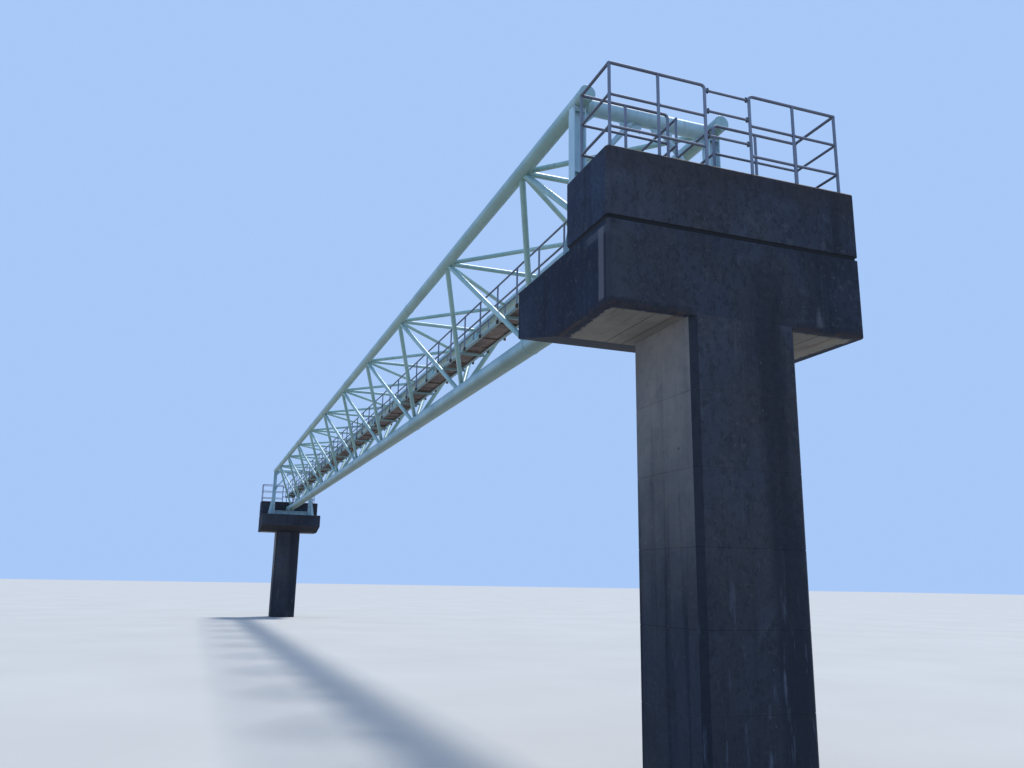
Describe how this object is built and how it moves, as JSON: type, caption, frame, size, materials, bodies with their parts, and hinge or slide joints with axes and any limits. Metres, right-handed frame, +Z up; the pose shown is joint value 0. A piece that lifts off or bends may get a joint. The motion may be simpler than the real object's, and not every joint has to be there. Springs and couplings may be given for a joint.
{
  "type": "pipe bridge, 1:2 scale model",
  "caption": "Triangular tube truss that carries a pipe and a railed walkway between two concrete piers, as a 1:2 scale model.",
  "frame": {"origin": "centre of the bounding box at ground level, under the middle of the span", "axes": "+X along the bridge from the near pier to the far pier, +Y to the left looking along +X, +Z up"},
  "size_m": [26.17, 1.84, 4.7713],
  "materials": {
    "concrete": "weathered cast concrete",
    "truss_paint": "weathered satin",
    "rail_paint": "weathered satin",
    "walkway_steel": "rusty underside"
  },
  "bodies": {
    "root": {"far_access_bars": "rail_paint", "far_block": "concrete", "far_cap": "concrete", "far_column": "concrete", "far_crossbeam": "truss_paint", "far_guard_back_left": "rail_paint", "far_guard_back_right": "rail_paint", "far_guard_front_left": "rail_paint", "far_guard_front_right": "rail_paint", "far_guard_left": "rail_paint", "far_guard_right": "rail_paint", "far_knee_braces": "truss_paint", "far_pipe_saddle": "truss_paint", "far_post_left": "truss_paint", "far_post_right": "truss_paint", "far_sill": "truss_paint", "main_pipe": "truss_paint", "near_access_bars": "rail_paint", "near_block": "concrete", "near_cap": "concrete", "near_column": "concrete", "near_crossbeam": "truss_paint", "near_guard_back_left": "rail_paint", "near_guard_back_right": "rail_paint", "near_guard_front_left": "rail_paint", "near_guard_front_right": "rail_paint", "near_guard_left": "rail_paint", "near_guard_right": "rail_paint", "near_knee_braces": "truss_paint", "near_pipe_saddle": "truss_paint", "near_post_left": "truss_paint", "near_post_right": "truss_paint", "near_sill": "truss_paint", "top_bracing": "truss_paint", "top_chord_left": "truss_paint", "top_chord_right": "truss_paint", "walkway_bearers": "walkway_steel", "walkway_deck": "walkway_steel", "walkway_end_trestles": "walkway_steel", "walkway_rail_left": "rail_paint", "walkway_rail_right": "rail_paint", "walkway_stringer_left": "walkway_steel", "walkway_stringer_right": "walkway_steel", "web_left": "truss_paint", "web_right": "truss_paint"}
  },
  "joints": []
}
